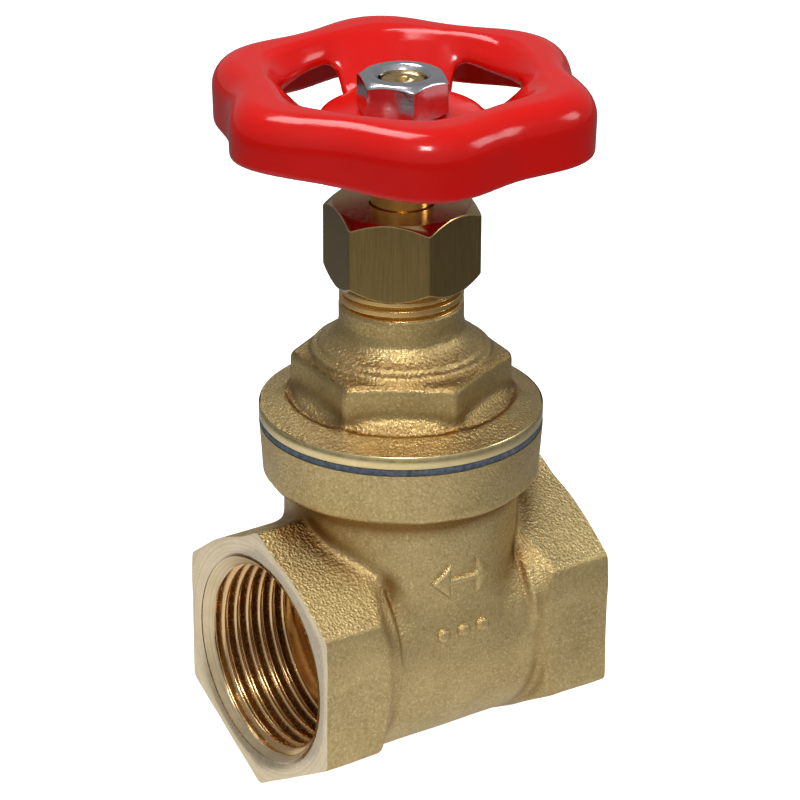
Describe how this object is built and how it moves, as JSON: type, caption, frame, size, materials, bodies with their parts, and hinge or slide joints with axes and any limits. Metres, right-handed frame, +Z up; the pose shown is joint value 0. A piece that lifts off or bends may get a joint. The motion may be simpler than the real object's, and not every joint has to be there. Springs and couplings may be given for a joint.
{
  "type": "gate valve",
  "caption": "Brass gate valve with hexagonal female-threaded pipe ends, a screwed bonnet, packing nut and red pressed-steel handwheel.",
  "frame": {"origin": "centre of the inlet pipe thread's outer end, on the flow axis", "axes": "+X along the flow from inlet to outlet, +Z up the stem towards the handwheel, Y across the valve"},
  "size_m": [0.049, 0.046, 0.0924],
  "materials": {
    "cast_brass": "sand-cast and blasted, machined at the ends",
    "cast_brass_bonnet": "sand-cast and blasted, turned rim and neck",
    "fibre": "compressed fibre sheet",
    "wedge_brass": "cast, faces machined",
    "turned_brass": "turned and polished",
    "ring_brass": "turned",
    "washer_brass": "stamped",
    "packing": "graphited packing",
    "follower_brass": "turned",
    "bar_brass": "drawn bar, faced and chamfered",
    "red_enamel": "glossy red enamel on pressed steel",
    "zinc_plate": "bright zinc plate on steel"
  },
  "bodies": {
    "valve": {"body": "cast_brass", "bonnet": "cast_brass_bonnet", "bonnet_gasket": "fibre", "packing_washer": "washer_brass", "packing_ring_1": "packing", "packing_ring_2": "packing", "packing_ring_3": "packing", "gland_follower": "follower_brass", "packing_nut": "bar_brass"},
    "stem": {"stem": "turned_brass", "stem_retaining_ring": "ring_brass", "handwheel": "red_enamel", "handwheel_nut": "zinc_plate"},
    "wedge": {"wedge": "wedge_brass"}
  },
  "joints": [
    {"name": "stem_turn", "type": "hinge", "parent": "valve", "child": "stem", "pos_m": [0.0198, 0, 0], "axis": [0, 0, 1], "range_deg": [-2448, 0]},
    {"name": "wedge_lift", "type": "slide", "parent": "valve", "child": "wedge", "axis": [0, 0, 1], "range_m": [-0.02041, 0.00001]}
  ],
  "couplings": [
    {"joint": "wedge_lift", "follows": "stem_turn", "m_per_rad": 0.00047746}
  ]
}
